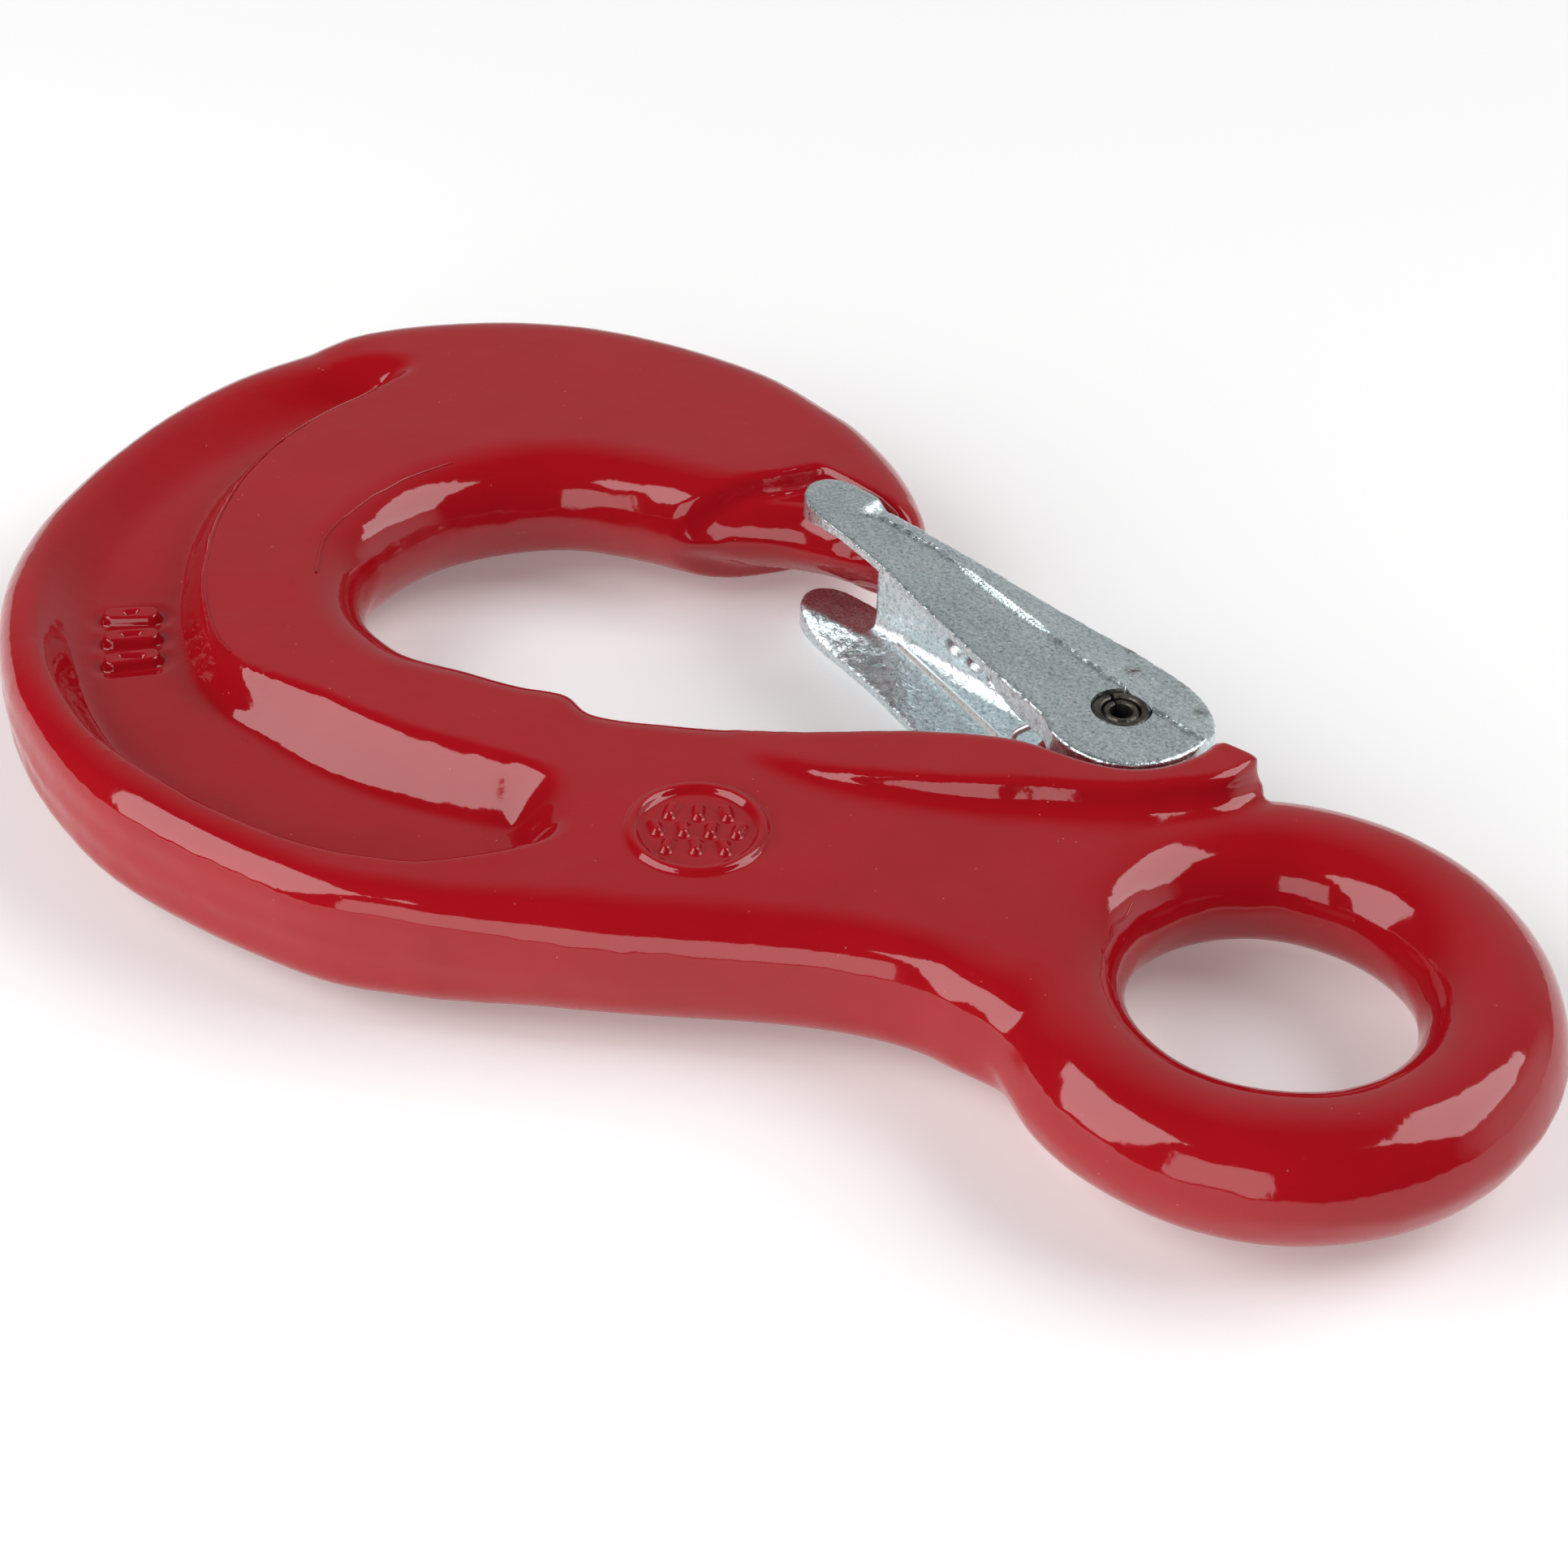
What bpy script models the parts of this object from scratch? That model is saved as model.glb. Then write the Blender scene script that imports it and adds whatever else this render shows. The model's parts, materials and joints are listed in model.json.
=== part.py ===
"""Eye sling hook with a spring-loaded latch, lying flat, in metres with +Z up.

The design is laid out in millimetres in the hook's own plan: the eye's centre is at (0, 0), the load line runs
along -X to the bowl, and the throat opens towards +Y. The part is symmetric about its forging plane, z = 0 of
the plan, and is then lifted so that it rests on z = 0 of the world with its bounding box centred on the origin.
"""

from math import atan2, cos, degrees, hypot, pi, radians, sin, tau

import bmesh
import bpy
import numpy as np
from mathutils import Vector

MM = 0.001
PLAN_TO_WORLD = (61.1, 3.43, 10.01)  # mm, moves the plan's origin so that the part stands centred on the origin

# Eye
EYE_RING_R = 20.8  # centreline radius of the round bar around the eye
EYE_BAR_R = 6.9

# Bowl and shank, forged 14 mm thick
HALF_THICK = 7.0
BOWL = (-92.5, 1.5)
# Angle about the bowl's centre in degrees, radius of the inner wall, radius of the outer wall
BOWL_STATIONS = (
    (56, 37.6, 40.4),
    (58, 35.0, 42.0),
    (63, 31.5, 43.2),
    (70, 28.0, 44.2),
    (78, 23.6, 45.2),
    (88, 19.6, 46.4),
    (105, 18.2, 48.9),
    (130, 18.2, 52.9),
    (155, 18.4, 56.0),
    (180, 19.2, 57.4),
    (210, 20.8, 58.8),
    (235, 20.4, 58.8),
    (260, 18.7, 58.0),
    (285, 18.1, 57.0),
)
# Points on the throat wall and on the back wall, from the bowl to the eye
SHANK_STATIONS = (
    ((-82.5, -14.6), (-66.5, -48.8)),
    ((-78.0, -12.6), (-61.0, -45.6)),
    ((-73.5, -13.1), (-56.0, -42.4)),
    ((-66.0, -8.8), (-49.0, -37.9)),
    ((-57.0, -2.2), (-40.5, -31.8)),
    ((-48.0, 4.6), (-32.0, -26.2)),
    ((-40.0, 10.4), (-25.0, -23.4)),
    ((-32.0, 14.5), (-19.5, -22.9)),
    ((-24.0, 15.5), (-15.0, -22.6)),
)
BOWL_INNER_ROUND = 6.9
SHANK_THROAT_ROUND = 4.0
BACK_ROUND = 5.4
BOWL_BACK_ROUND = 3.9
WALL_MIN = 0.1  # upright stretch left between the upper and lower rounds
RECESS_DEPTH = 5.0
RECESS_SHOAL = 0.8  # the recess is this much shallower at its upper end
RIM_DROP = 1.15  # the recess's outer rim lies this much below the flat at its upper end
# Around the bowl: angle in degrees, then the radii of the top and foot of the recess's inner slope, and of the
# foot and top of its outer slope
RECESS_STATIONS = (
    (154, 43.4, 44.5, 44.5, 46.5),
    (166, 40.9, 43.6, 43.8, 51.0),
    (175, 40.4, 43.2, 44.2, 53.6),
    (184, 39.9, 42.7, 45.0, 54.6),
    (193, 39.1, 42.0, 46.2, 55.2),
    (205, 38.2, 41.1, 47.8, 55.8),
    (218, 37.5, 40.2, 49.0, 55.8),
    (232, 37.5, 39.8, 49.8, 55.6),
    (243, 37.5, 39.6, 50.6, 55.2),
    (252, 36.4, 38.9, 50.8, 54.6),
    (258, 34.0, 38.0, 50.4, 53.8),
    (266, 31.8, 37.7, 49.6, 52.8),
    (278, 31.2, 37.4, 48.8, 52.2),
    (289, 31.2, 37.4, 48.2, 51.6),
    (297, 31.6, 37.6, 47.2, 50.6),
    (305, 32.6, 38.2, 44.6, 48.0),
    (315, 35.0, 39.2, 41.0, 44.6),
)

# Latch pivot
PIVOT = (-31.9, 19.3)
CHEEK_IN = 5.8  # height of the cheeks' inner faces above the forging plane
CHEEK_OUT = 8.8
TAIL_R = 9.4
PIN_R = 3.0
PIN_BORE_R = 2.05
INNER_PIN_R = 1.95
INNER_BORE_R = 1.2
PIN_HALF = 8.6

# Latch outline and web
TIP_TOP = (-78.4, 32.7)
TIP_ROUND = 3.2
WEB_FROM, WEB_TO = -71.0, -42.5
WEB_THICK = 2.8

# Rib and lug between the cheeks, and the ledge that carries the open latch and cradles its tail
RIB_HALF = 5.4
POCKET_HALF = 4.8
LUG_HALF = 1.9
LUG_R = 8.2
SPRING_SEAT_R = 6.6
CRADLE_R = 10.6
CRADLE_FROM, CRADLE_TO = -92, 40  # degrees about the pivot
# Along the ledge, from its start on the throat wall round the cradle to the lip: x and y of its wall, its crest and
# its foot, and half height
LEDGE_ROWS = (
    (-61.0, -6.8, -59.0, -9.6, -58.0, -11.0, 6.7),
    (-55.8, -4.4, -53.6, -9.2, -52.0, -11.4, 7.7),
    (-50.3, -1.0, -47.0, -7.4, -45.6, -9.9, 8.6),
    (-44.8, 2.9, -40.6, -4.2, -39.3, -6.8, 9.3),
    (-39.6, 5.8, -34.9, -0.8, -33.4, -3.3, 9.8),
    (-35.6, 7.6, -30.6, 2.4, -28.7, -0.4, 10.0),
    (-29.6, 9.0, -26.4, 5.4, -24.3, 2.3, 10.0),
    (-25.8, 10.6, -22.9, 8.3, -20.2, 4.8, 10.0),
    (-23.2, 13.2, -20.0, 11.7, -16.9, 8.2, 10.0),
    (-21.7, 16.6, -17.1, 15.4, -14.9, 12.8, 10.0),
    (-21.3, 18.6, -16.3, 18.4, -14.6, 16.6, 10.0),
    (-21.3, 20.0, -16.4, 20.4, -15.0, 19.6, 10.0),
    (-20.9, 20.8, -17.0, 21.2, -15.8, 20.8, 9.2),
)
# Side of the ledge, from crest to foot: share of the way out and of the height
LEDGE_SIDE = ((0.0, 0.80), (0.12, 0.52), (0.32, 0.22), (0.6, 0.07), (1.0, 0.0))
LEDGE_LIP = 1.2
LEDGE_HALF = 10.0  # no part of the ledge is higher

# Latch spring: two coils on the pin, a bow between them and a bent leg to the latch's web on each side
WIRE_R = 0.4
COIL_R = 5.2
COIL_TOP = 5.0
COIL_TURNS = 2.678
COIL_PITCH = 0.85
LEG_FROM = 241  # degrees about the pivot, where a leg leaves its coil
LEG_BEND = (-46.0, 21.2)
LEG_END = (-66.3, 27.8)
BOW = (-43.5, 17.6)
# Share of the way from a coil's end to the bow's middle, and height there
BOW_ROWS = ((0.35, 2.7), (0.62, 2.6), (0.78, 2.0), (0.92, 1.1), (1.0, 0.0))


# ---------------------------------------------------------------- helpers


def clear_scene():
    for thing in list(bpy.data.objects):
        bpy.data.objects.remove(thing, do_unlink=True)


def material(name, color, roughness, metallic):
    made = bpy.data.materials.new(name)
    made.use_nodes = True
    shader = made.node_tree.nodes["Principled BSDF"]
    shader.inputs["Base Color"].default_value = (*color, 1.0)
    shader.inputs["Roughness"].default_value = roughness
    shader.inputs["Metallic"].default_value = metallic
    return made


def to_world(point):
    return tuple((value + shift) * MM for value, shift in zip(point, PLAN_TO_WORLD))


def make_object(name, vertices, faces, finish=None, origin=None):
    """A mesh object from plan points in millimetres, with its faces turned outwards and its origin where asked."""
    mesh = bpy.data.meshes.new(name)
    start = Vector(to_world(origin) if origin else (0.0, 0.0, 0.0))
    mesh.from_pydata([Vector(to_world(v)) - start for v in vertices], [], faces)
    shell = bmesh.new()
    shell.from_mesh(mesh)
    bmesh.ops.recalc_face_normals(shell, faces=shell.faces)
    shell.to_mesh(mesh)
    shell.free()
    mesh.shade_smooth()
    mesh.set_sharp_from_angle(angle=radians(35))
    thing = bpy.data.objects.new(name, mesh)
    thing.location = start
    bpy.context.scene.collection.objects.link(thing)
    if finish:
        mesh.materials.append(finish)
    return thing


def as_tool(thing):
    """Marks an object as a guide for Booleans."""
    thing.hide_render = True
    thing.display_type = "WIRE"
    return thing


def boolean(thing, tool, operation):
    step = thing.modifiers.new(tool.name, "BOOLEAN")
    step.operation = operation
    step.solver = "EXACT"
    step.object = as_tool(tool)


def bevel(thing, width, segments=2):
    step = thing.modifiers.new("bevel", "BEVEL")
    step.width = width * MM
    step.segments = segments
    step.limit_method = "ANGLE"
    step.angle_limit = radians(50)


def loft(name, rings, finish=None, closed=False, origin=None):
    """Skins a list of rings that have equal numbers of points."""
    count = len(rings[0])
    vertices = [point for ring in rings for point in ring]
    faces = []
    spans = len(rings) if closed else len(rings) - 1
    for i in range(spans):
        here = i * count
        there = (i + 1) % len(rings) * count
        for j in range(count):
            after = (j + 1) % count
            faces.append((here + j, here + after, there + after, there + j))
    if not closed:
        faces.append(tuple(range(count)))
        faces.append(tuple(range(len(vertices) - 1, len(vertices) - count - 1, -1)))
    return make_object(name, vertices, faces, finish, origin)


def prism(name, outline, low, high, finish=None, origin=None):
    return loft(name, [[(x, y, z) for x, y in outline] for z in (low, high)], finish, origin=origin)


def arc(centre, radius, start, end, steps):
    """Points on an arc from start to end, in degrees."""
    return [
        (centre[0] + radius * cos(radians(a)), centre[1] + radius * sin(radians(a)))
        for a in np.linspace(start, end, steps + 1)
    ]


def disc(name, centre, radius, low, high, steps=32):
    return prism(name, arc(centre, radius, 0, 360, steps)[:-1], low, high)


def spline(rows, steps):
    """A Catmull-Rom curve through rows of numbers, with the given number of steps in each span."""
    rows = np.array(rows, float)
    ends = np.vstack([2 * rows[0] - rows[1], rows, 2 * rows[-1] - rows[-2]])
    made = []
    for i in range(len(rows) - 1):
        before, start, end, after = ends[i : i + 4]
        for t in np.arange(steps) / steps:
            made.append(
                0.5
                * (
                    2 * start
                    + (end - before) * t
                    + (2 * before - 5 * start + 4 * end - after) * t**2
                    + (3 * start - 3 * end + after - before) * t**3
                )
            )
    made.append(rows[-1])
    return made


def smooth(t):
    t = min(max(t, 0.0), 1.0)
    return t * t * (3 - 2 * t)


# ---------------------------------------------------------------- hook body


def body_rows():
    """Rows of inner x, y, outer x, y, half thickness, inner round and back round, from the tip to the eye."""
    rows = []
    for angle, inner, outer in BOWL_STATIONS:
        way = (cos(radians(angle)), sin(radians(angle)))
        half = HALF_THICK * (0.62 + 0.38 * smooth((angle - 54) / 12))
        to_shank = smooth((angle - 255) / 40)
        back = BACK_ROUND + (BOWL_BACK_ROUND - BACK_ROUND) * smooth((angle - 215) / 25)
        rows.append(
            (
                BOWL[0] + inner * way[0],
                BOWL[1] + inner * way[1],
                BOWL[0] + outer * way[0],
                BOWL[1] + outer * way[1],
                half,
                min(half, BOWL_INNER_ROUND + (SHANK_THROAT_ROUND - BOWL_INNER_ROUND) * to_shank),
                min(half, back),
            )
        )
    for number, (throat, back) in enumerate(SHANK_STATIONS):
        round_back = BOWL_BACK_ROUND + (BACK_ROUND - BOWL_BACK_ROUND) * smooth(number / 3)
        rows.append((*throat, *back, HALF_THICK, SHANK_THROAT_ROUND, round_back))
    return rows


def recess_radii(x, y):
    """Angle about the bowl's centre and the recess's four radii there, for a plan point."""
    angle = degrees(atan2(y - BOWL[1], x - BOWL[0])) % 360
    stations = np.array(RECESS_STATIONS)
    return angle, [float(np.interp(angle, stations[:, 0], stations[:, k])) for k in (1, 2, 3, 4)]


def recess_depth(x, y):
    """Depth of the crescent recess at a plan point, below the bowl's flat."""
    angle, (top, foot, crease, rim) = recess_radii(x, y)
    reach = hypot(x - BOWL[0], y - BOWL[1])
    ends = smooth((angle - RECESS_STATIONS[0][0]) / 11) * smooth((RECESS_STATIONS[-1][0] - angle) / 10)
    step = min(max((reach - top) / (foot - top), 0.0), 1.0)
    rise = smooth((rim - reach) / (rim - crease))
    drop = RIM_DROP * smooth((angle - 157) / 9) * smooth((255 - angle) / 50)
    depth = RECESS_DEPTH - RECESS_SHOAL * smooth((225 - angle) / 30)
    return ends * step * (drop + (depth - drop) * rise)


def flat_reaches(inner, way, first, last):
    """Distances from the inner wall of the points across a section's flat, gathered at the recess's slopes."""
    even = np.linspace(first, last, 13)[1:-1]
    middle = inner + way * (first + last) / 2
    angle, (top, foot, crease, rim) = recess_radii(*middle)
    radii = [top, 0.5 * (top + foot), foot, 0.5 * (foot + crease)]
    radii += list(np.linspace(crease, rim, 6)) + [0.5 * rim + 0.5 * hypot(*(inner + way * last - np.array(BOWL)))]
    near = hypot(*(inner - np.array(BOWL)))
    gathered = np.clip(np.array(radii) - near, first, last)
    share = smooth((angle - 148) / 8) * smooth((316 - angle) / 8)
    reaches = share * gathered + (1 - share) * even
    gap = 0.012 * (last - first)
    for k in range(len(reaches)):
        reaches[k] = max(reaches[k], (first if k == 0 else reaches[k - 1]) + gap)
    return np.minimum(reaches, last - gap * np.arange(len(reaches), 0, -1))


def body_ring(row):
    """One cross-section of the bowl or shank, a closed ring of plan points."""
    inner, outer = np.array(row[0:2]), np.array(row[2:4])
    half, inner_round, back_round = row[4:7]
    width = hypot(*(outer - inner))
    way = (outer - inner) / width
    inner_round = min(inner_round, 0.45 * width, half - WALL_MIN)
    back_round = min(back_round, 0.45 * width, half - WALL_MIN)
    quarter = np.linspace(0, pi / 2, 6)
    profile = [
        (inner_round * (1 - cos(a)), half - inner_round + inner_round * sin(a)) for a in quarter
    ]
    profile += [(u, half) for u in flat_reaches(inner, way, inner_round, width - back_round)]
    profile += [
        (width - back_round * (1 - cos(a)), half - back_round + back_round * sin(a))
        for a in quarter[::-1]
    ]
    upper = []
    for u, z in profile:
        x, y = inner + way * u
        upper.append((x, y, z - recess_depth(x, y)))
    lower = [(x, y, -z) for x, y, z in reversed(upper)]
    return [(*inner, 0.0), *upper, (*outer, 0.0), *lower]


def body_blank():
    return loft("bowl_and_shank", [body_ring(row) for row in spline(body_rows(), 4)])


def eye():
    rings = []
    for around in np.arange(48) / 48 * tau:
        ring = []
        for across in np.arange(20) / 20 * tau:
            radius = EYE_RING_R + EYE_BAR_R * cos(across)
            ring.append((radius * cos(around), radius * sin(around), EYE_BAR_R * sin(across)))
        rings.append(ring)
    return loft("eye_ring", rings, closed=True)


def ledge_ring(row):
    """Section of the ledge: a flat top, then a steep side that runs out in a hollow fillet."""
    wall, crest, foot = (np.array(row[k : k + 2]) for k in (0, 2, 4))
    half = min(row[6], LEDGE_HALF)
    reach = hypot(*foot)
    flat = HALF_THICK if reach > EYE_RING_R else (EYE_BAR_R**2 - (EYE_RING_R - reach) ** 2) ** 0.5
    top = hypot(*(crest - wall))
    rise = max(half - flat, 0.05)
    across = [(0.0, 0.0), (0.0, half - LEDGE_LIP), (0.3 * LEDGE_LIP / top, half - 0.3 * LEDGE_LIP)]
    across += [(LEDGE_LIP / top, half), (1 - 0.8 / top, half)]
    upper = [(*(wall + share * (crest - wall)), z) for share, z in across]
    upper += [(*(crest + share * (foot - crest)), flat + rise * height) for share, height in LEDGE_SIDE]
    out = foot + (foot - crest) * 0.2
    upper += [(*out, flat - 0.3), (*out, 0.0)]
    return upper + [(x, y, -z) for x, y, z in reversed(upper[1:-1])]


def ledge():
    return loft("latch_ledge", [ledge_ring(row) for row in spline(LEDGE_ROWS, 3)])


def lug():
    """The eye of metal that the latch pivots on, between its cheeks."""
    base = [(-39.0, 9.0), (-24.0, 6.0)]
    outline = [*arc(PIVOT, LUG_R, -20, 190, 16), *base]
    return prism("lug", outline, -LUG_HALF, LUG_HALF)


def cheek_clearance(name, side):
    """Room for one cheek of the latch between closed and open, with the cradle for its tail."""
    swept = [row[:2] for row in LEDGE_ROWS[1:6]]
    swept += arc(PIVOT, CRADLE_R, CRADLE_FROM, CRADLE_TO, 16)
    swept += [(-24.0, 32.0), (-60.0, 10.0)]
    low, high = sorted((side * RIB_HALF, side * 12.0))
    return prism(name, swept, low, high)


def tip_pocket(name, side):
    """The flat that a cheek's tip lies on at the end of the hook."""
    outline = [(-87.0, 12.0), (-86.8, 27.5), (-84.8, 32.6), (-83.3, 34.6), (-81.0, 35.0)]
    outline += [(-64.0, 33.8), (-60.0, 12.0)]
    low, high = sorted((side * POCKET_HALF, side * 12.0))
    return prism(name, outline, low, high)


def hook_body():
    body = body_blank()
    body.name = "hook_body"
    body.data.materials.append(material("red_gloss_paint", (0.42, 0.008, 0.014), 0.22, 0.0))
    boolean(body, eye(), "UNION")
    boolean(body, ledge(), "UNION")
    for side, word in ((1, "upper"), (-1, "lower")):
        boolean(body, cheek_clearance("clearance_" + word, side), "DIFFERENCE")
    boolean(body, lug(), "UNION")
    for side, word in ((1, "upper"), (-1, "lower")):
        boolean(body, tip_pocket("tip_pocket_" + word, side), "DIFFERENCE")
        low, high = sorted((side * LUG_HALF, side * 12.0))
        seat = disc("spring_seat_" + word, PIVOT, SPRING_SEAT_R, low, high)
        boolean(body, seat, "DIFFERENCE")
    boolean(body, disc("pivot_bore", PIVOT, PIN_R + 0.05, -12, 12), "DIFFERENCE")
    return body


# ---------------------------------------------------------------- latch


def cheek_outline():
    """Round tail about the pivot, tapering to a round tip."""
    tip = (TIP_TOP[0] + 0.9, TIP_TOP[1] - TIP_ROUND)
    return [
        *arc(PIVOT, TAIL_R, -128, 84, 22),
        *arc(tip, TIP_ROUND, 94, 232, 8),
        (-64.4, 22.4),
        (-49.4, 17.6),
        (-40.9, 14.8),
    ]


def web_outline():
    return [(WEB_TO, 30.1), (WEB_FROM, 32.1), (WEB_FROM, 32.1 - WEB_THICK), (WEB_TO, 30.1 - WEB_THICK)]


def latch():
    finish = material("zinc_plate", (0.56, 0.58, 0.6), 0.38, 1.0)
    body = prism("latch", cheek_outline(), CHEEK_IN, CHEEK_OUT, finish, (*PIVOT, 0.0))
    boolean(body, prism("web", web_outline(), -CHEEK_IN - 1, CHEEK_IN + 1), "UNION")
    boolean(body, prism("lower_cheek", cheek_outline(), -CHEEK_OUT, -CHEEK_IN), "UNION")
    boolean(body, disc("pin_holes", PIVOT, PIN_R + 0.05, -12, 12), "DIFFERENCE")
    bevel(body, 0.7)
    return body


# ---------------------------------------------------------------- pins and spring


def spring_pin(name, radius, bore, finish):
    """A rolled tube with a slot along its length."""
    slot = 9  # half of the slot's angle, degrees
    facing = 200
    outer = arc(PIVOT, radius, facing + slot, facing + 360 - slot, 28)
    inner = arc(PIVOT, bore, facing + 360 - slot, facing + slot, 28)
    return prism(name, outer + inner, -PIN_HALF, PIN_HALF, finish)


def spring_half():
    """One leg, coil and half of the bow, from the leg's end to the forging plane."""
    start = radians(LEG_FROM)
    route = [(*LEG_END, COIL_TOP), (*LEG_BEND, COIL_TOP)]
    for turn in np.linspace(0, COIL_TURNS, 40):
        angle = start + tau * turn
        drop = COIL_PITCH * turn
        route.append((PIVOT[0] + COIL_R * cos(angle), PIVOT[1] + COIL_R * sin(angle), COIL_TOP - drop))
    x, y, _ = route[-1]
    route += [(x + share * (BOW[0] - x), y + share * (BOW[1] - y), z) for share, z in BOW_ROWS]
    return route


def latch_spring():
    half = spring_half()
    route = half + [(x, y, -z) for x, y, z in reversed(half[:-1])]
    curve = bpy.data.curves.new("latch_spring", "CURVE")
    curve.dimensions = "3D"
    curve.bevel_depth = WIRE_R * MM
    curve.bevel_resolution = 2
    curve.use_fill_caps = True
    line = curve.splines.new("POLY")
    line.points.add(len(route) - 1)
    for point, place in zip(line.points, route):
        point.co = (*to_world(place), 1.0)
    curve.materials.append(material("spring_steel", (0.62, 0.62, 0.62), 0.25, 1.0))
    thing = bpy.data.objects.new("latch_spring", curve)
    bpy.context.scene.collection.objects.link(thing)
    return thing


def main():
    clear_scene()
    hook_body()
    latch()
    dark = material("burnished_steel", (0.09, 0.075, 0.06), 0.4, 1.0)
    spring_pin("outer_spring_pin", PIN_R, PIN_BORE_R, dark)
    spring_pin("inner_spring_pin", INNER_PIN_R, INNER_BORE_R, dark)
    latch_spring()


main()
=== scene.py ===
"""Looks of a forged eye sling hook with a sprung latch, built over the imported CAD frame.

The shapes are laid out in millimetres in the hook's own plan, as in the CAD part: the eye's centre is at
(0, 0), the load line runs along -X to the bowl, the throat opens towards +Y and z = 0 is the forging plane.
"""

import json
from math import cos, hypot, pi, radians, sin, tau

import bmesh
import bpy
import numpy as np
from mathutils import Euler, Matrix, Vector, noise


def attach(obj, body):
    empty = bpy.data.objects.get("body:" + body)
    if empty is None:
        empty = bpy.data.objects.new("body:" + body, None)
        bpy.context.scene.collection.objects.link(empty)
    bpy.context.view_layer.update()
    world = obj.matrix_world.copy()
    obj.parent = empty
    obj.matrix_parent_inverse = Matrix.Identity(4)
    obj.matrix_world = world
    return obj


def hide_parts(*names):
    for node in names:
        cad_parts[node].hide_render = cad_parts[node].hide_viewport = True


MM = 0.001
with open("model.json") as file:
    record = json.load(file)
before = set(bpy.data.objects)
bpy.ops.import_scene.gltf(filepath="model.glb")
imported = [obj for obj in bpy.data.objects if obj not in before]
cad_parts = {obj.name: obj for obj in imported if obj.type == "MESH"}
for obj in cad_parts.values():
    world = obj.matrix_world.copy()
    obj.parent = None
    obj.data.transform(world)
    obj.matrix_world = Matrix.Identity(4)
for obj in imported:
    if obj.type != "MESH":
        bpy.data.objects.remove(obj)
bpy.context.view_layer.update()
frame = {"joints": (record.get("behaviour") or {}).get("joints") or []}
HINGE = next(joint for joint in frame["joints"] if joint["name"] == "latch_hinge")

# ---------------------------------------------------------------- driving dimensions, mm in the plan

EYE_RING_R = 20.8
EYE_BAR_R = 6.9
HALF_THICK = 7.0
BOWL = (-92.5, 1.5)
# Angle about the bowl's centre in degrees, radius of the inner wall, radius of the outer wall
BOWL_STATIONS = (
    (56, 37.6, 40.4),
    (58, 35.0, 42.0),
    (63, 31.5, 43.2),
    (70, 28.0, 44.2),
    (78, 23.6, 45.2),
    (88, 19.6, 46.4),
    (105, 18.2, 48.9),
    (130, 18.2, 52.9),
    (155, 18.4, 56.0),
    (180, 19.2, 57.4),
    (210, 20.8, 58.8),
    (235, 20.4, 58.8),
    (260, 18.7, 58.0),
    (285, 18.1, 57.0),
)
# Points on the throat wall and on the back wall, from the bowl to the eye
SHANK_STATIONS = (
    ((-82.5, -14.6), (-66.5, -48.8)),
    ((-78.0, -12.6), (-61.0, -45.6)),
    ((-73.5, -13.1), (-56.0, -42.4)),
    ((-66.0, -8.8), (-49.0, -37.9)),
    ((-57.0, -2.2), (-40.5, -31.8)),
    ((-48.0, 4.6), (-32.0, -26.2)),
    ((-40.0, 10.4), (-25.0, -23.4)),
    ((-32.0, 14.5), (-19.5, -22.9)),
    ((-24.0, 15.5), (-15.0, -22.6)),
)
BOWL_INNER_ROUND = 6.9
SHANK_THROAT_ROUND = 4.0
BACK_ROUND = 5.4
BOWL_BACK_ROUND = 3.9
WALL_MIN = 0.1
RECESS_DEPTH = 5.0
RECESS_SHOAL = 0.8  # the recess is this much shallower at its upper end
RIM_DROP = 1.15  # the recess's outer rim lies this much below the flat at its upper end
# Around the bowl: angle in degrees, then the radii of the top and foot of the recess's inner slope, and of
# the foot and top of its outer slope
RECESS_STATIONS = (
    (154, 43.4, 44.5, 44.5, 46.5),
    (166, 40.9, 43.6, 43.8, 51.0),
    (175, 40.4, 43.2, 44.2, 53.6),
    (184, 39.9, 42.7, 45.0, 54.6),
    (193, 39.1, 42.0, 46.2, 55.2),
    (205, 38.2, 41.1, 47.8, 55.8),
    (218, 37.5, 40.2, 49.0, 55.8),
    (232, 37.5, 39.8, 49.8, 55.6),
    (243, 37.5, 39.6, 50.6, 55.2),
    (252, 36.4, 38.9, 50.8, 54.6),
    (258, 34.0, 38.0, 50.4, 53.8),
    (266, 31.8, 37.7, 49.6, 52.8),
    (278, 31.2, 37.4, 48.8, 52.2),
    (289, 31.2, 37.4, 48.2, 51.6),
    (297, 31.6, 37.6, 47.2, 50.6),
    (305, 32.6, 38.2, 44.6, 48.0),
    (315, 35.0, 39.2, 41.0, 44.6),
)
# Pocket for the latch's tip: a point on its left rim and the rim's direction, the height of its top rim, and
# how the hook's end falls away towards the throat inside it, as distances from the wall and heights
POCKET_RIM = (-88.5, 28.5)
POCKET_RIM_WAY = (0.525, 0.851)
POCKET_TOP = 35.4
POCKET_MIDDLE = (-83.5, 31.0)  # the skin is left crisp around it
POCKET_REACH = 9.0
POCKET_FALL = ((0.0, 0.6), (0.3, 1.4), (0.8, 2.1), (1.6, 2.8), (2.6, 3.6), (3.2, 4.2), (4.0, 4.3))

PIVOT = (-31.9, 19.3)
CHEEK_IN = 5.8
CHEEK_OUT = 8.8
PIN_R = 3.0
PIN_BORE_R = 2.05
INNER_PIN_R = 1.95
INNER_BORE_R = 1.2
PIN_HALF = 8.6
WEB_FROM, WEB_TO = -71.0, -42.5
WEB_THICK = 2.8
RIB_HALF = 5.4
LUG_HALF = 1.9
LUG_R = 8.2
SPRING_SEAT_R = 7.9
CRADLE_R = 10.6
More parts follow.
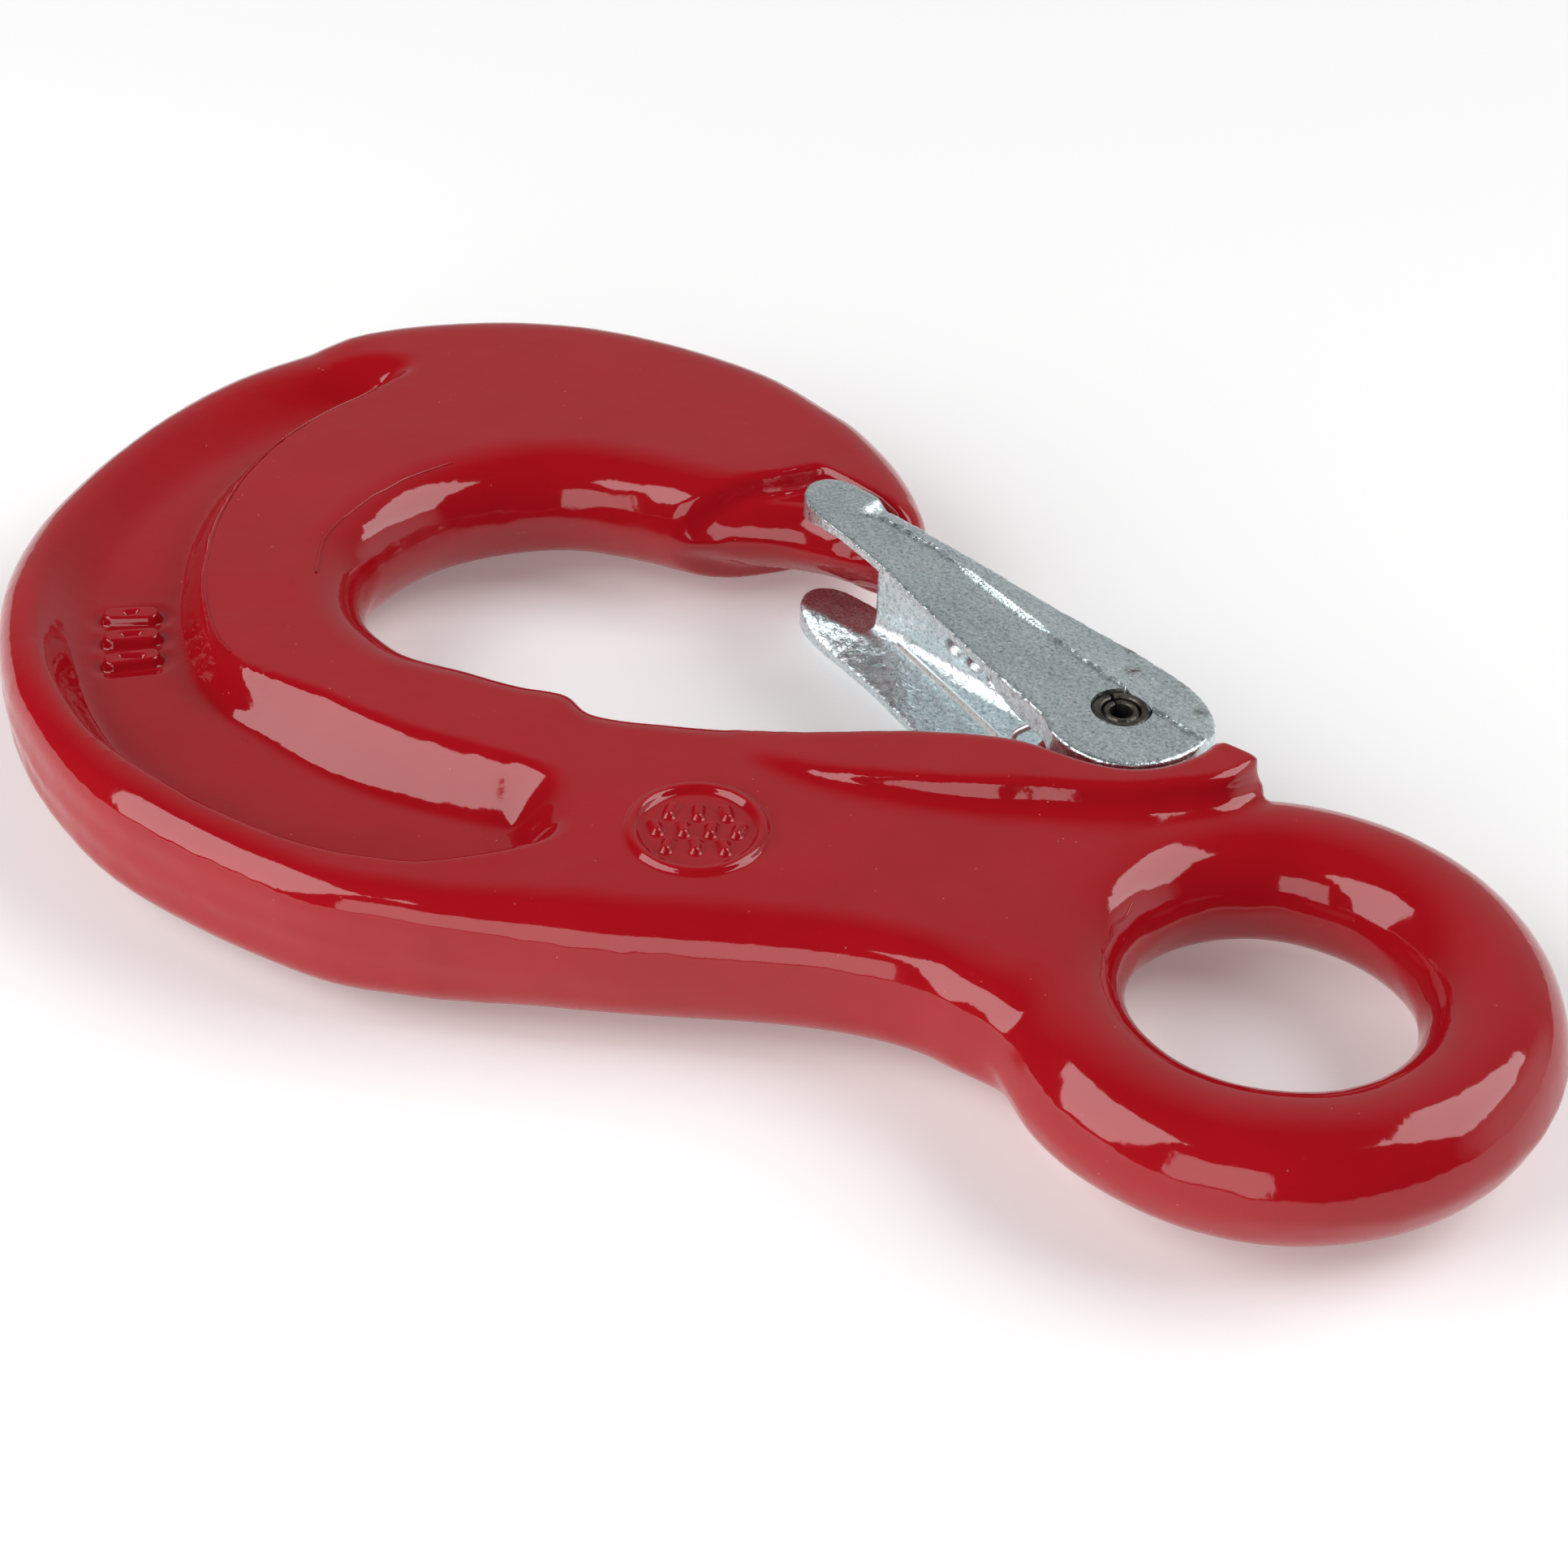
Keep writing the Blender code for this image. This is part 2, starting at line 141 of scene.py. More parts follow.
# Along the ledge, from its start on the throat wall round the cradle to the lip: x and y of its wall, its
# crest and its foot, and half height
LEDGE_ROWS = (
    (-61.0, -6.8, -59.0, -9.6, -58.0, -11.0, 6.7),
    (-55.8, -4.4, -53.6, -9.2, -52.0, -11.4, 7.7),
    (-50.3, -1.0, -47.0, -7.4, -45.6, -9.9, 8.6),
    (-44.8, 2.9, -40.6, -4.2, -39.3, -6.8, 9.3),
    (-39.6, 5.8, -34.9, -0.8, -33.4, -3.3, 9.8),
    (-35.6, 7.6, -30.6, 2.4, -28.7, -0.4, 10.0),
    (-29.6, 9.0, -26.4, 5.4, -24.3, 2.3, 10.0),
    (-25.8, 10.6, -22.9, 8.3, -20.2, 4.8, 10.0),
    (-23.2, 13.2, -20.0, 11.7, -16.9, 8.2, 10.0),
    (-21.7, 16.6, -17.1, 15.4, -14.9, 12.8, 10.0),
    (-21.3, 18.6, -16.3, 18.4, -14.6, 16.6, 10.0),
    (-21.3, 20.0, -16.4, 20.4, -15.0, 19.6, 10.0),
    (-20.9, 20.8, -17.0, 21.2, -15.8, 20.8, 9.2),
)
# Side of the ledge, from crest to foot: share of the way out and of the height
LEDGE_SIDE = ((0.0, 0.80), (0.07, 0.62), (0.17, 0.42), (0.32, 0.22), (0.52, 0.09), (0.75, 0.03), (1.0, 0.0))
LEDGE_LIP = 1.2
LEDGE_HALF = 10.0  # no part of the ledge is higher
CRADLE_FROM, CRADLE_TO = -92, 40

WIRE_R = 0.4
COIL_R = 5.2
COIL_TOP = 5.0
COIL_TURNS = 2.678
COIL_PITCH = 0.85
LEG_FROM = 241  # degrees about the pivot, where a leg leaves its coil
LEG_BEND = (-46.0, 21.2)
LEG_END = (-66.3, 27.8)
BOW = (-43.5, 17.6)
# Share of the way from a coil's end to the bow's middle, and height there
BOW_ROWS = ((0.35, 2.7), (0.62, 2.6), (0.78, 2.0), (0.92, 1.1), (0.98, 0.5), (1.0, 0.0))

# The plan's origin in the world, from the joint that the CAD states on the pivot
ORIGIN = Vector(HINGE["pos_m"]) - Vector((*PIVOT, 0.0)) * MM

# Details that only the looks hold
HOOK_VOXEL = 0.5
HOOK_SMOOTH = 5
# Where the eye blends into the shank: a band around the eye's ring, left of JOIN_TO_X
JOIN_OUT, JOIN_WIDTH, JOIN_TO_X = 3.5, 7.0, -9.0
JOIN_SMOOTH = 50
LEDGE_REACH = 17.8  # from the pivot to the outside of the ledge's round end
LEDGE_FOOT = (-45.0, 2.8)  # a point on the ledge's wall
LEDGE_FOOT_OUT = 11.5  # from there to clear of the ledge's foot
# Heights of the forged skin's slow and quick unevenness, what its walls add to that, and of the flash line
SKIN_SLOW, SKIN_QUICK, SKIN_WALL, FLASH_RISE = 0.10, 0.012, 0.055, 0.16
LATCH_VOXEL = 0.27
LATCH_SMOOTH = 14
CORNER = 1.7  # hollow corners between the latch's web and cheeks
CHEEK_TAPER = 1.9  # how much thinner a cheek is at its free edge than at the web
# Outline of a cheek, from its top edge round the tip and back under the pivot
CHEEK_OUTLINE = (
    (-44.0, 30.3),
    (-52.9, 31.0),
    (-62.0, 31.6),
    (-67.8, 32.1),
    (-73.0, 32.5),
    (-77.2, 32.7),
    (-79.6, 32.1),
    (-80.9, 30.6),
    (-80.8, 28.7),
    (-79.4, 26.9),
    (-76.2, 25.4),
    (-71.4, 24.2),
    (-66.3, 22.8),
    (-60.8, 20.9),
    (-53.6, 18.4),
    (-46.0, 15.8),
    (-39.6, 13.8),
    (-36.9, 12.9),
    (-34.6, 11.3),
    (-30.6, 10.5),
    (-26.8, 11.5),
    (-23.6, 14.9),
    (-22.4, 19.3),
    (-23.0, 22.9),
    (-25.0, 25.9),
    (-29.0, 28.3),
    (-35.5, 29.6),
)
# Seam that runs along a cheek's face: the face falls away above it
SEAM = (
    (-74.5, 28.0),
    (-73.3, 28.7),
    (-70.8, 29.7),
    (-67.7, 29.6),
    (-62.8, 29.0),
    (-60.2, 28.5),
    (-52.3, 26.5),
    (-44.7, 24.8),
    (-38.7, 23.4),
    (-34.8, 22.5),
    (-29.8, 21.4),
    (-23.6, 20.6),
)
SEAM_STEP, SEAM_FALL = 0.50, 0.20  # drop just above the seam, and further drop per millimetre above it
BURR_RISE = 0.30
KNURL_FROM, KNURL_TO = -60.2, -44.7  # the seam's stretch with fine cross ribs
RIB_PITCH, RIB_RISE = 0.50, 0.20
# Hollows on the web's inner face, along x and up z
HOLLOWS = ((-59.4, 2.2), (-56.4, 2.8), (-53.4, 3.4), (-50.3, 4.0), (-47.9, 4.5))
HOLLOW_SINK = 0.75
# Rusty spots on the cheeks: x, y and radius
RUST_SPOTS = (
    (-38.0, 30.0, 1.3),
    (-30.5, 28.6, 0.9),
    (-35.3, 26.6, 1.2),
    (-26.4, 25.6, 1.0),
    (-32.6, 29.2, 0.8),
)
RUST_SUNK = 1.0  # how far below the cheeks' highest level the spots lie
BADGE = (-52.5, -22.0)
BADGE_R = 6.4
BADGE_RISE, BADGE_SINK = 0.55, 0.12  # of its rim, and of the field inside the rim
DOT_PITCH, DOT_RISE = 2.7, 0.62
BADGE_TURN = 38  # degrees
STAMP = (-121.3, -33.3)
STAMP_TURN = -41
PAD_PITCH = 3.9
PAD_RISE, DENT_SINK, HALO_SINK = 1.05, 0.5, 0.16  # of a pad, of the dent in it and of the skin around it

# Camera
AIM = (-56.2, -4.2)  # plan point that the camera looks at, in the forging plane
AZIMUTH = 38.6  # degrees that the view turns from the world's +Y towards -X
ELEVATION = 38.6
ROLL = 2.0
DISTANCE = 345.6
LENS = 78.26
# Lamps: name, azimuth from the view's far side, the nearer and farther edges as (reach, height) in metres,
# width and radiance
LAMPS = (
    ("left_softbox", -112, (0.52, 0.78), (2.28, 0.16), 0.80, 4.0),
    ("right_softbox", 85, (0.50, 1.05), (1.05, 0.60), 0.80, 4.0),
    ("rear_panel", -163, (1.50, 1.05), (1.51, 0.05), 0.90, 2.4),
)
LAMP_WATTS = pi  # for one square metre at a radiance of one
# Glows of the room: azimuth and elevation of the middle, angle from there to the rim, and strength
GLOWS = ((8, 12, 75, 0.40), (85, 10, 32, 0.9))
ROOM_GLOW = 0.02
FLOOR_HALF = 1.5  # metres
FLOOR_GLOW = 0.17  # lifts the pale floor to white, as a lit table does


# ---------------------------------------------------------------- helpers


def to_world(point):
    return ORIGIN + Vector(point) * MM


def to_plan(points):
    """Rows of world positions in metres as rows of plan positions in millimetres."""
    return (points - np.array(ORIGIN)) / MM


def smooth(t):
    t = min(max(t, 0.0), 1.0)
    return t * t * (3 - 2 * t)


def smooth_rows(t):
    t = np.clip(t, 0.0, 1.0)
    return t * t * (3 - 2 * t)


def link(name, data):
    thing = bpy.data.objects.new(name, data)
    bpy.context.scene.collection.objects.link(thing)
    return thing


def make_object(name, vertices, faces):
    mesh = bpy.data.meshes.new(name)
    mesh.from_pydata([to_world(v) for v in vertices], [], faces)
    shell = bmesh.new()
    shell.from_mesh(mesh)
    bmesh.ops.recalc_face_normals(shell, faces=shell.faces)
    shell.to_mesh(mesh)
    shell.free()
    return link(name, mesh)


def loft(name, rings, closed=False):
    """Skins a list of rings that have equal numbers of points."""
    count = len(rings[0])
    vertices = [point for ring in rings for point in ring]
    faces = []
    spans = len(rings) if closed else len(rings) - 1
    for i in range(spans):
        here = i * count
        there = (i + 1) % len(rings) * count
        for j in range(count):
            after = (j + 1) % count
            faces.append((here + j, here + after, there + after, there + j))
    if not closed:
        faces.append(tuple(range(count)))
        faces.append(tuple(range(len(vertices) - 1, len(vertices) - count - 1, -1)))
    return make_object(name, vertices, faces)


def prism(name, outline, low, high):
    return loft(name, [[(x, y, z) for x, y in outline] for z in (low, high)])


def arc(centre, radius, start, end, steps):
    return [
        (centre[0] + radius * cos(radians(a)), centre[1] + radius * sin(radians(a)))
        for a in np.linspace(start, end, steps + 1)
    ]


def disc(name, centre, radius, low, high, steps=64):
    return prism(name, arc(centre, radius, 0, 360, steps)[:-1], low, high)


def spline(rows, steps):
    """A Catmull-Rom curve through rows of numbers, with the given number of steps in each span."""
    rows = np.array(rows, float)
    ends = np.vstack([2 * rows[0] - rows[1], rows, 2 * rows[-1] - rows[-2]])
    made = []
    for i in range(len(rows) - 1):
        before, start, end, after = ends[i : i + 4]
        for t in np.arange(steps) / steps:
            made.append(
                0.5
                * (
                    2 * start
                    + (end - before) * t
                    + (2 * before - 5 * start + 4 * end - after) * t**2
                    + (3 * start - 3 * end + after - before) * t**3
                )
            )
    made.append(rows[-1])
    return made


def boolean(thing, tool, operation):
    """Applies a Boolean at once and removes its tool."""
    step = thing.modifiers.new(tool.name, "BOOLEAN")
    step.operation = operation
    step.solver = "EXACT"
    step.object = tool
    apply_modifiers(thing)
    bpy.data.objects.remove(tool, do_unlink=True)


def apply_modifiers(thing):
    baked = bpy.data.meshes.new_from_object(thing.evaluated_get(bpy.context.evaluated_depsgraph_get()))
    thing.modifiers.clear()
    thing.data = baked


def remesh(thing, voxel):
    step = thing.modifiers.new("remesh", "REMESH")
    step.mode = "VOXEL"
    step.voxel_size = voxel * MM
    apply_modifiers(thing)


def points_of(thing):
    points = np.empty(len(thing.data.vertices) * 3, np.float32)
    thing.data.vertices.foreach_get("co", points)
    return points.reshape(-1, 3).astype(float)


def normals_of(thing):
    normals = np.empty(len(thing.data.vertices) * 3, np.float32)
    thing.data.vertices.foreach_get("normal", normals)
    return normals.reshape(-1, 3).astype(float)


def set_points(thing, points):
    thing.data.vertices.foreach_set("co", np.ascontiguousarray(points, np.float32).ravel())
    thing.data.update()


def relax(thing, times, share=None, push_back=0.0):
    """Moves each vertex towards the mean of its neighbours; share is how far, for each vertex."""
    edges = np.empty(len(thing.data.edges) * 2, np.int32)
    thing.data.edges.foreach_get("vertices", edges)
    a, b = edges.reshape(-1, 2).T
    points = points_of(thing)
    count = np.bincount(a, minlength=len(points)) + np.bincount(b, minlength=len(points))
    share = np.full(len(points), 0.5) if share is None else share

    def pull(points, share):
        total = np.zeros_like(points)
        for axis in range(3):
            total[:, axis] += np.bincount(a, points[b, axis], len(points))
            total[:, axis] += np.bincount(b, points[a, axis], len(points))
        return points + (total / count[:, None] - points) * share[:, None]

    for _ in range(times):
        points = pull(points, share)
        if push_back:
            points = pull(points, -push_back * share)
    set_points(thing, points)


# ---------------------------------------------------------------- materials


class Nodes:
    """A small builder for one material's node tree."""

    def __init__(self, name):
        self.material = bpy.data.materials.new(name)
        self.material.use_nodes = True
        self.tree = self.material.node_tree
        self.shader = self.tree.nodes["Principled BSDF"]
        self.place = self.add("ShaderNodeTexCoord").outputs["Object"]

    def add(self, kind, **settings):
        node = self.tree.nodes.new(kind)
        for key, value in settings.items():
            setattr(node, key, value)
        return node

    def wire(self, start, end):
        self.tree.links.new(start, end)

    def noise(self, scale, detail=2.0, roughness=0.5, distortion=0.0):
        node = self.add("ShaderNodeTexNoise")
        node.inputs["Scale"].default_value = scale
        node.inputs["Detail"].default_value = detail
        node.inputs["Roughness"].default_value = roughness
        node.inputs["Distortion"].default_value = distortion
        self.wire(self.place, node.inputs["Vector"])
        return node.outputs["Fac"]

    def cells(self, scale, feature="F1", output="Distance"):
        node = self.add("ShaderNodeTexVoronoi", feature=feature)
        node.inputs["Scale"].default_value = scale
        self.wire(self.place, node.inputs["Vector"])
        return node.outputs[output]

    def ramp(self, value, stops):
        node = self.add("ShaderNodeValToRGB")
        elements = node.color_ramp.elements
        while len(elements) < len(stops):
            elements.new(0.5)
        for element, (place, color) in zip(elements, stops):
            element.position = place
            element.color = (*color, 1.0) if len(color) == 3 else color
        self.wire(value, node.inputs["Fac"])
        return node.outputs["Color"]

    def span(self, value, low, high, to_low=0.0, to_high=1.0):
        node = self.add("ShaderNodeMapRange")
        for key, number in (
            ("From Min", low),
            ("From Max", high),
            ("To Min", to_low),
            ("To Max", to_high),
        ):
            node.inputs[key].default_value = number
        self.wire(value, node.inputs["Value"])
        return node.outputs["Result"]

    def math(self, operation, a, b):
        node = self.add("ShaderNodeMath", operation=operation)
        for socket, value in zip(node.inputs, (a, b)):
            if isinstance(value, (int, float)):
                socket.default_value = value
            else:
                self.wire(value, socket)
        return node.outputs[0]

    def mix(self, factor, first, second, blend="MIX"):
        node = self.add("ShaderNodeMix", data_type="RGBA", blend_type=blend)
        for socket, value in zip((node.inputs[0], node.inputs[6], node.inputs[7]), (factor, first, second)):
            if isinstance(value, bpy.types.NodeSocket):
                self.wire(value, socket)
            elif isinstance(value, tuple):
                socket.default_value = (*value, 1.0)
            else:
                socket.default_value = value
        return node.outputs[2]

    def bump(self, height, strength, distance, before=None):
        node = self.add("ShaderNodeBump")
        node.inputs["Strength"].default_value = strength
        node.inputs["Distance"].default_value = distance
        self.wire(height, node.inputs["Height"])
        if before is not None:
            self.wire(before, node.inputs["Normal"])
        return node.outputs["Normal"]


def red_gloss_paint():
    """Thick gloss paint over a forged skin: ripples, orange peel, specks and pools of deeper colour."""
    made = Nodes("red_gloss_paint")
    shader = made.shader
    pools = made.noise(90, 3.0, 0.55)
    color = made.mix(pools, (0.33, 0.004, 0.009), (0.41, 0.006, 0.012))
    specks = made.span(made.cells(900), 0.0, 0.10, 1.0, 0.0)
    rare = made.span(made.noise(260, 2.0), 0.60, 0.68)
    color = made.mix(made.math("MULTIPLY", specks, rare), color, (0.62, 0.25, 0.12))
    made.wire(color, shader.inputs["Base Color"])
    shader.inputs["Roughness"].default_value = 0.07
    ripple = made.bump(made.noise(260, 2.0, 0.5, 0.4), 0.10, 0.0005)
    peel = made.bump(made.noise(1300, 2.0, 0.5), 0.05, 0.00010, ripple)
    made.wire(peel, shader.inputs["Normal"])
    return made.material


def zinc_plate():
    """Bluish zinc over a shot-blasted casting: coarse sparkle painted into the colour as near-white glints,
    with a few rusty spots on the cheeks.
    """
    made = Nodes("zinc_plate")
    shader = made.shader
    patches = made.noise(150, 4.0, 0.6)
    tones = ((0.30, (0.68, 0.78, 0.81)), (0.55, (0.80, 0.90, 0.92)), (0.75, (0.88, 0.95, 0.95)))
    color = made.ramp(patches, tones)
    grits = ((0.34, (0.40, 0.42, 0.44)), (0.48, (0.84, 0.86, 0.87)), (0.62, (1.0, 1.0, 1.0)))
    grain = made.ramp(made.noise(2600, 3.0, 0.7), grits)
    color = made.mix(0.85, color, grain, "MULTIPLY")
    # Painted highlight: sparse near-white specks in the base colour stand in for glints of light off the
    # blasted grit
    painted_glints = made.span(made.noise(2400, 2.0, 0.6), 0.58, 0.66)
    color = made.mix(painted_glints, color, (0.98, 1.0, 1.0))
    near = None
    for x, y, radius in RUST_SPOTS:
        gap = made.add("ShaderNodeVectorMath", operation="DISTANCE")
        made.wire(made.place, gap.inputs[0])
        gap.inputs[1].default_value = to_world((x, y, CHEEK_OUT - RUST_SUNK))
        spot = made.span(gap.outputs["Value"], 0.4 * radius * MM, 1.3 * radius * MM, 1.0, 0.0)
        near = spot if near is None else made.math("MAXIMUM", near, spot)
    rust = made.math("MULTIPLY", near, made.span(made.noise(1500, 4.0, 0.7), 0.40, 0.52))
    color = made.mix(rust, color, (0.09, 0.07, 0.055))
    made.wire(color, shader.inputs["Base Color"])
    made.wire(made.span(rust, 0.0, 1.0, 1.0, 0.2), shader.inputs["Metallic"])
    made.wire(made.span(made.noise(1100, 2.0), 0.3, 0.7, 0.30, 0.44), shader.inputs["Roughness"])
    grit = made.bump(made.noise(900, 3.0, 0.6), 0.35, 0.0006)
    made.wire(grit, shader.inputs["Normal"])
    return made.material


def burnished_steel():
    """Dark spring steel, oiled and slightly rusty."""
    made = Nodes("burnished_steel")
    shader = made.shader
    tones = ((0.35, (0.055, 0.05, 0.045)), (0.6, (0.14, 0.12, 0.10)), (0.8, (0.2, 0.13, 0.08)))
    color = made.ramp(made.noise(900, 4.0, 0.6), tones)
    made.wire(color, shader.inputs["Base Color"])
    shader.inputs["Metallic"].default_value = 0.9
    made.wire(made.span(made.noise(1400, 2.0), 0.3, 0.7, 0.28, 0.5), shader.inputs["Roughness"])
    made.wire(made.bump(made.noise(2400, 3.0), 0.4, 0.0002), shader.inputs["Normal"])
    return made.material


def spring_wire():
    """Bright drawn wire with fine scratches."""
    made = Nodes("spring_wire")
    shader = made.shader
    color = made.mix(made.noise(1200, 3.0), (0.74, 0.74, 0.74), (0.88, 0.88, 0.87))
    made.wire(color, shader.inputs["Base Color"])
    shader.inputs["Metallic"].default_value = 0.8
    made.wire(made.span(made.noise(3000, 2.0), 0.3, 0.7, 0.24, 0.38), shader.inputs["Roughness"])
    made.wire(made.bump(made.noise(4000, 2.0), 0.15, 0.0001), shader.inputs["Normal"])
    return made.material


def pale_floor():
    made = Nodes("pale_floor")
    shader = made.shader
    color = made.mix(made.noise(3, 2.0), (0.93, 0.93, 0.93), (0.96, 0.96, 0.96))
    made.wire(color, shader.inputs["Base Color"])
    shader.inputs["Roughness"].default_value = 0.8
    shader.inputs["Emission Color"].default_value = (1.0, 1.0, 1.0, 1.0)
    shader.inputs["Emission Strength"].default_value = FLOOR_GLOW
    return made.material


# ---------------------------------------------------------------- hook body


def body_rows():
    """Rows of inner x, y, outer x, y, half thickness, inner round and back round, from the tip to the eye."""
    rows = []
    for angle, inner, outer in BOWL_STATIONS:
        way = (cos(radians(angle)), sin(radians(angle)))
        half = HALF_THICK * (0.62 + 0.38 * smooth((angle - 54) / 12))
        to_shank = smooth((angle - 255) / 40)
        back = BACK_ROUND + (BOWL_BACK_ROUND - BACK_ROUND) * smooth((angle - 215) / 25)
        rows.append(
            (
                BOWL[0] + inner * way[0],
                BOWL[1] + inner * way[1],
                BOWL[0] + outer * way[0],
                BOWL[1] + outer * way[1],
                half,
                min(half, BOWL_INNER_ROUND + (SHANK_THROAT_ROUND - BOWL_INNER_ROUND) * to_shank),
                min(half, back),
            )
        )
    for number, (throat, back) in enumerate(SHANK_STATIONS):
        to_eye = smooth(number / 3)
        round_back = BOWL_BACK_ROUND + (BACK_ROUND - BOWL_BACK_ROUND) * to_eye
        rows.append((*throat, *back, HALF_THICK, SHANK_THROAT_ROUND, round_back))
    return rows


def recess_depth(x, y):
    """Depth of the crescent recess at plan points, below the bowl's flat."""
    angle = np.degrees(np.arctan2(y - BOWL[1], x - BOWL[0])) % 360
    reach = np.hypot(x - BOWL[0], y - BOWL[1])
    stations = np.array(RECESS_STATIONS)
    top, foot, crease, rim = (np.interp(angle, stations[:, 0], stations[:, k]) for k in (1, 2, 3, 4))
    ends = smooth_rows((angle - stations[0, 0]) / 11) * smooth_rows((stations[-1, 0] - angle) / 10)
    step = (reach - top) / (foot - top)
    broad = smooth_rows((angle - 245) / 15)
    step = (1 - broad) * np.clip(step, 0, 1) + broad * (0.45 * smooth_rows(step) + 0.55 * np.clip(step, 0, 1))
    rise = smooth_rows((rim - reach) / (rim - crease))
    shoal = RECESS_SHOAL * smooth_rows((225 - angle) / 30)
    drop = RIM_DROP * smooth_rows((angle - 157) / 9) * smooth_rows((255 - angle) / 50)
    depth = RECESS_DEPTH - shoal
    return ends * step * (drop + (depth - drop) * rise)


def pocket_drop(x, y, z):
    """How far points on the hook's end sink into the pocket for the latch's tip."""
    angle = np.degrees(np.arctan2(y - BOWL[1], x - BOWL[0]))
    stations = np.array(BOWL_STATIONS)
    from_wall = np.hypot(x - BOWL[0], y - BOWL[1]) - np.interp(angle, stations[:, 0], stations[:, 1])
    across, along = POCKET_RIM_WAY[1], -POCKET_RIM_WAY[0]
    inside = (x - POCKET_RIM[0]) * across + (y - POCKET_RIM[1]) * along
    share = smooth_rows(inside / 0.9) * smooth_rows((POCKET_TOP - y) / 0.8) * (np.abs(angle - 60) < 40)
    falls = np.array(POCKET_FALL)
    return share * np.maximum(z - np.interp(from_wall, falls[:, 0], falls[:, 1]), 0)


def body_ring(row):
    """One cross-section of the bowl or shank, a closed ring of plan points."""
    inner, outer = np.array(row[0:2]), np.array(row[2:4])
    half, inner_round, back_round = row[4:7]
    width = hypot(*(outer - inner))
    way = (outer - inner) / width
    inner_round = min(inner_round, 0.45 * width, half - WALL_MIN)
    back_round = min(back_round, 0.45 * width, half - WALL_MIN)
    quarter = np.linspace(0, pi / 2, 12)
    profile = [(inner_round * (1 - cos(a)), half - inner_round + inner_round * sin(a)) for a in quarter]
    flat = np.linspace(inner_round, width - back_round, 50)[1:-1]
    profile += [(u, half) for u in flat]
    profile += [
        (width - back_round * (1 - cos(a)), half - back_round + back_round * sin(a)) for a in quarter[::-1]
    ]
    across, height = np.array(profile).T
    x, y = inner[:, None] + way[:, None] * across
    upper = list(zip(x, y, height - recess_depth(x, y) - pocket_drop(x, y, height)))
    lower = [(x, y, -z) for x, y, z in reversed(upper)]
    return [(*inner, 0.0), *upper, (*outer, 0.0), *lower]


def eye_ring():
    rings = []
    for around in np.arange(128) / 128 * tau:
        ring = []
        for across in np.arange(48) / 48 * tau:
            radius = EYE_RING_R + EYE_BAR_R * cos(across)
            ring.append((radius * cos(around), radius * sin(around), EYE_BAR_R * sin(across)))
        rings.append(ring)
    return loft("eye_ring", rings, closed=True)


def ledge_ring(row):
    """Section of the ledge: a flat top with a round crest, and a steep side that ends in a hollow fillet."""
    wall, crest, foot = (np.array(row[k : k + 2]) for k in (0, 2, 4))
    half = min(row[6], LEDGE_HALF)
    reach = hypot(*foot)
    flat = HALF_THICK if reach > EYE_RING_R else (EYE_BAR_R**2 - (EYE_RING_R - reach) ** 2) ** 0.5
    top = hypot(*(crest - wall))
    rise = max(half - flat, 0.05)
    across = [(0.0, 0.0), (0.0, half - LEDGE_LIP)]
    across += [
        (LEDGE_LIP * (1 - cos(a)) / top, half - LEDGE_LIP * (1 - sin(a))) for a in np.linspace(0.2, pi / 2, 5)
    ]
    across += [(1 - 1.0 / top, half), (1 - 0.45 / top, half - 0.08)]
    across += [(1 - 0.12 / top, half - 0.07 * rise - 0.15)]
    upper = [(*(wall + share * (crest - wall)), z) for share, z in across]
    upper += [(*(crest + share * (foot - crest)), flat + rise * height) for share, height in LEDGE_SIDE]
    out = foot + (foot - crest) * 0.2
    upper += [(*out, flat - 0.3), (*out, 0.0)]
    return upper + [(x, y, -z) for x, y, z in reversed(upper[1:-1])]


def lug():
    base = [(-39.0, 9.0), (-24.0, 6.0)]
    return prism("lug", [*arc(PIVOT, LUG_R, -20, 190, 40), *base], -LUG_HALF, LUG_HALF)


def cheek_clearance(side):
    """Room for one cheek of the latch between closed and open, with the cradle for its tail."""
    swept = [row[:2] for row in LEDGE_ROWS[1:6]]
    swept += arc(PIVOT, CRADLE_R, CRADLE_FROM, CRADLE_TO, 30)
    swept += [(-24.0, 32.0), (-60.0, 10.0)]
    low, high = sorted((side * RIB_HALF, side * 12.0))
    return prism("clearance", swept, low, high)


def soften_joins(body):
    """Blends the eye into the shank, clear of the ledge: of its round end and of its straight foot."""
    x, y, _ = to_plan(points_of(body)).T
    ring = np.abs(np.hypot(x, y) - EYE_RING_R - JOIN_OUT)
    off_ledge = np.hypot(x - PIVOT[0], y - PIVOT[1]) - LEDGE_REACH
    from_foot = (x - LEDGE_FOOT[0]) * 0.60 - (y - LEDGE_FOOT[1]) * 0.80
    off_ledge = np.minimum(off_ledge, from_foot - LEDGE_FOOT_OUT)
    join = smooth_rows((JOIN_WIDTH - ring) / 4.0) * smooth_rows((JOIN_TO_X - x) / 5.0)
    relax(body, JOIN_SMOOTH, 0.5 * join * smooth_rows(off_ledge / 3.0))


def forge_skin(body):
    """Unevenness of a forged surface, stronger on its trimmed walls, and a flash line on the mid-plane."""
    points = points_of(body)
    normals = normals_of(body)
    plan = to_plan(points)
    wall = 1 - np.abs(normals[:, 2])
    slow = np.array([noise.noise(p * 0.11) for p in map(Vector, plan)])
    quick = np.array([noise.noise(p * 0.38 + Vector((7, 3, 1))) for p in map(Vector, plan)])
    flash = np.exp(-((plan[:, 2] - 1.2 * slow) ** 2) / 1.6) * smooth_rows(wall / 0.5)
    rise = SKIN_SLOW * slow + (SKIN_QUICK + SKIN_WALL * wall**2) * quick + FLASH_RISE * flash
    in_bore = np.hypot(plan[:, 0] - PIVOT[0], plan[:, 1] - PIVOT[1]) < LUG_R + 1.5
    rise[in_bore] = 0
    set_points(body, points + normals * (rise * MM)[:, None])


